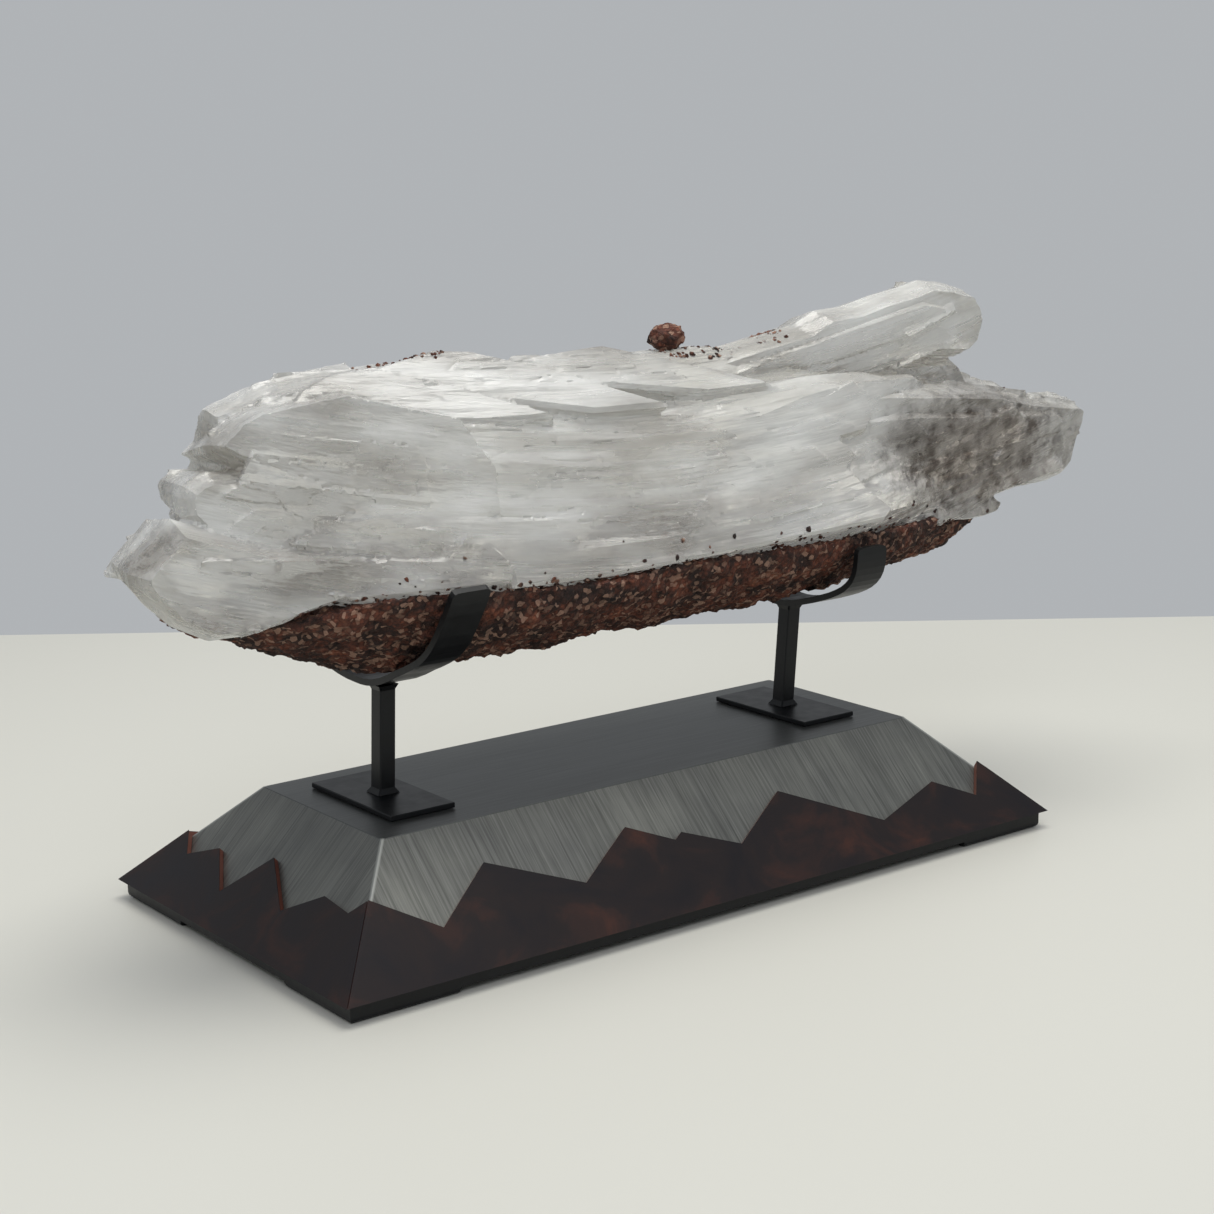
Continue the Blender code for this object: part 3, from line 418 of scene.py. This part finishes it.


# The crust that the crystal grew on: iron-stained clay and gypsum grit, broken away from the rock. It
# wraps the underside, mottled from nearly black to rust red where it was rubbed, and each of its small
# grains is painted darker towards its edge: painted shade between the grains.
CRUST_PITCH = 1.5 * MM
CRUST_GRIT = [(11 * MM, 2.0 * MM), (5 * MM, 2.6 * MM), (2.8 * MM, 1.6 * MM)]     # grain size and height
CRUST_FACES = 150_000
NODULE_PITCH = 0.5 * MM
NODULE_GRIT = [(4 * MM, 0.9 * MM), (1.8 * MM, 0.5 * MM)]


def crumble(mesh, sizes):
    """Roughen a surface with grains of several sizes: (grain size, height) in metres."""
    def gritty(spot):
        return sum(height * (0.45 - noise.voronoi(spot / size)[0][0]) for size, height in sizes)

    push_out(mesh, gritty)


rock, tree, shader, place = new_material("iron_stained_gypsum_clay", IOR=1.5, Roughness=0.9)
lumps = add(tree, "TexNoise", {"Vector": place, "Scale": 1 / (14 * MM), "Detail": 6.0, "Roughness": 0.7})
grains = add(tree, "TexVoronoi", {"Vector": place, "Scale": 1 / (2.2 * MM)})
tone = add(tree, "ValToRGB", {"Fac": lumps}, stops=[(0.30, "#1c1210"), (0.45, "#3c241c"),
                                                    (0.58, "#75412f"), (0.72, "#a0664c")])
# painted shade: each small grain is lighter at its middle and darker towards its edge, as if shaded where
# the grains meet
speck = add(tree, "ValToRGB", {"Fac": grains.outputs["Distance"]}, stops=[(0.1, 1.15), (0.7, 0.45)])
shaded = add(tree, "Mix", {0: 1.0, 6: tone, 7: speck}, data_type="RGBA", blend_type="MULTIPLY")
own_tone = add(tree, "SeparateColor", {0: grains.outputs["Color"]})
pale = add(tree, "MapRange", {"Value": own_tone, "From Min": 0.72, "From Max": 0.95, "To Max": 0.7})
rusty = add(tree, "Mix", {0: pale, 6: shaded.outputs[2], 7: linear("#a98672")}, data_type="RGBA")
gritty = add(tree, "TexNoise", {"Vector": place, "Scale": 1 / (1.2 * MM), "Detail": 4.0})
relief = add(tree, "Bump", {"Height": gritty, "Strength": 1.0, "Distance": 2.0 * MM})
tree.links.new(rusty.outputs[2], shader.inputs["Base Color"])
tree.links.new(relief.outputs[0], shader.inputs["Normal"])

crust = new_piece("red_matrix_crust", merged("matrix_crust"), rock)
remesh(crust, CRUST_PITCH)
crumble(crust.data, CRUST_GRIT)
decimate(crust, CRUST_FACES)
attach(crust, "root")
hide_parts("matrix_crust")

nodule = new_piece("red_matrix_nodule", merged("matrix_nodule"), rock)
remesh(nodule, NODULE_PITCH)
crumble(nodule.data, NODULE_GRIT)
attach(nodule, "root")
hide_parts("matrix_nodule")


# Loose grains of the same red clay, stuck on the crystal along the crust, a few of them further up the
# face beside the left cradle, and in patches along the crest.
GRAIN_TRIES = 26_000
GRAIN_SIZE = (0.5 * MM, 1.8 * MM)
CLIMB = 3.5 * MM                           # how soon the grains thin out away from the crust
NEAR_CHANCE = 0.5                          # share of the tries beside the crust that become grains
UPWARD = 0.45                              # least upward lean of a face that holds grains on the crest
CREST_Y = -3 * MM
CREST_WIDTH = 11 * MM
CLIMBING_PATCH = Vector((-168, -62, 150)) * MM
CLIMBING_REACH = 26 * MM
CREST_PATCHES = [(-136, 26), (13, 13), (38, 17), (74, 15), (262, 14)]      # x and reach along it, mm


def add_grain(grit, spot, outward, rng):
    """An uneven little lump that sits in the surface, made by itself and then joined to the others."""
    bm = bmesh.new()
    lump = bmesh.ops.create_icosphere(bm, subdivisions=1, radius=1.0)["verts"]
    for vert in lump:
        vert.co *= rng.uniform(0.6, 1.25)
    radius = rng.uniform(*GRAIN_SIZE) * rng.uniform(0.5, 1.0)
    size = Matrix.Diagonal((radius * rng.uniform(0.8, 1.7), radius, radius * 0.8, 1.0))
    turn = outward.to_track_quat("Z", "X").to_matrix().to_4x4()
    spin = Matrix.Rotation(rng.uniform(0, math.tau), 4, "Z")
    bmesh.ops.transform(bm, matrix=Matrix.Translation(spot) @ turn @ spin @ size, verts=lump)
    grain_mesh = bpy.data.meshes.new("grain")
    bm.to_mesh(grain_mesh)
    bm.free()
    grit.from_mesh(grain_mesh)
    bpy.data.meshes.remove(grain_mesh)


rng = random.Random(9)
face = merged("selenite_blade")
face.normal_update()
crusted = bvhtree.BVHTree.FromBMesh(merged("matrix_crust"))
grit_bits = bmesh.new()
for spot, outward in scatter(face, GRAIN_TRIES, rng):
    _, _, _, distance = crusted.find_nearest(spot)
    near_crust = distance < rng.expovariate(1 / CLIMB)
    climbing = (spot - CLIMBING_PATCH).length < CLIMBING_REACH * rng.random()
    on_crest = outward.z > UPWARD and abs(spot.y - CREST_Y) < CREST_WIDTH and \
        any(abs(spot.x - x * MM) < reach * MM * rng.random() for x, reach in CREST_PATCHES)
    if climbing or on_crest or (near_crust and rng.random() < NEAR_CHANCE):
        add_grain(grit_bits, spot, outward, rng)
face.free()
grit_piece = new_piece("red_clay_grains", grit_bits, rock)
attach(grit_piece, "root")


# The stage: a pale floor that ends in a straight edge behind the object, square to the camera's view,
# against a plain pale room. It has no wall, so the object can be seen from every side.
CAMERA_PLACE = BASE_CENTRE + Vector((-0.6247, -0.8288, 0.0))
CAMERA_PLACE.z = 0.3473
YAW, PITCH, ROLL = math.radians(52.7171), math.radians(-12.0942), math.radians(-0.8943)
FOCAL_PIXELS = 2256.47
FRAME_PIXELS = 1214
FLOOR_REACH = 3.0
FLOOR_BEHIND = 0.52        # from the base's centre to the floor's far edge, along the camera's view

floor_look, _, shader, _ = new_material("matt_pale_floor", Roughness=0.45, IOR=1.45)
shader.inputs["Base Color"].default_value = linear("#cac9c1")

bm = bmesh.new()
bmesh.ops.create_grid(bm, x_segments=1, y_segments=1, size=FLOOR_REACH)
bmesh.ops.translate(bm, verts=bm.verts, vec=(FLOOR_BEHIND - FLOOR_REACH, 0.0, 0.0))
bmesh.ops.transform(bm, verts=bm.verts, matrix=Matrix.Rotation(YAW, 4, "Z"))
bmesh.ops.translate(bm, verts=bm.verts, vec=(BASE_CENTRE.x, 0.0, 0.0))
floor = new_piece("pale_floor", bm, floor_look)


# Soft studio light: a large softbox overhead, a smaller one above the camera, and a pale room
def softbox(name, place, aim, size, watts, colour):
    """A square area light that faces a point."""
    lamp = bpy.data.lights.new(name, "AREA")
    lamp.size = size
    lamp.energy = watts
    lamp.color = linear(colour)[:3]
    holder = bpy.data.objects.new(name, lamp)
    holder.location = place
    holder.rotation_euler = (Vector(aim) - Vector(place)).to_track_quat("-Z", "Y").to_euler()
    bpy.context.scene.collection.objects.link(holder)


softbox("top_softbox", (0.15, 0.05, 1.5), (0.0, 0.0, 0.15), 1.1, 19.0, "#fffdf8")
softbox("front_softbox", (-0.9, -1.1, 1.3), (0.0, 0.0, 0.1), 0.9, 9.0, "#f4f7ff")

room = bpy.data.worlds.new("pale_room")
room.use_nodes = True
room.node_tree.nodes["Background"].inputs["Color"].default_value = linear("#e6eaee")
room.node_tree.nodes["Background"].inputs["Strength"].default_value = 0.55
bpy.context.scene.world = room
bpy.context.scene.view_settings.view_transform = "Standard"

lens = bpy.data.cameras.new("camera")
lens.sensor_width = 36.0
lens.lens = FOCAL_PIXELS / FRAME_PIXELS * lens.sensor_width
lens.clip_start = 0.01
ahead = Vector((math.cos(PITCH) * math.cos(YAW), math.cos(PITCH) * math.sin(YAW), math.sin(PITCH)))
level = Vector((math.sin(YAW), -math.cos(YAW), 0.0))
upward = level.cross(ahead)
right = level * math.cos(ROLL) + upward * math.sin(ROLL)
top = upward * math.cos(ROLL) - level * math.sin(ROLL)
camera = bpy.data.objects.new("camera", lens)
camera.matrix_world = Matrix.Translation(CAMERA_PLACE) @ Matrix((right, top, -ahead)).transposed().to_4x4()
bpy.context.scene.collection.objects.link(camera)
bpy.context.scene.camera = camera
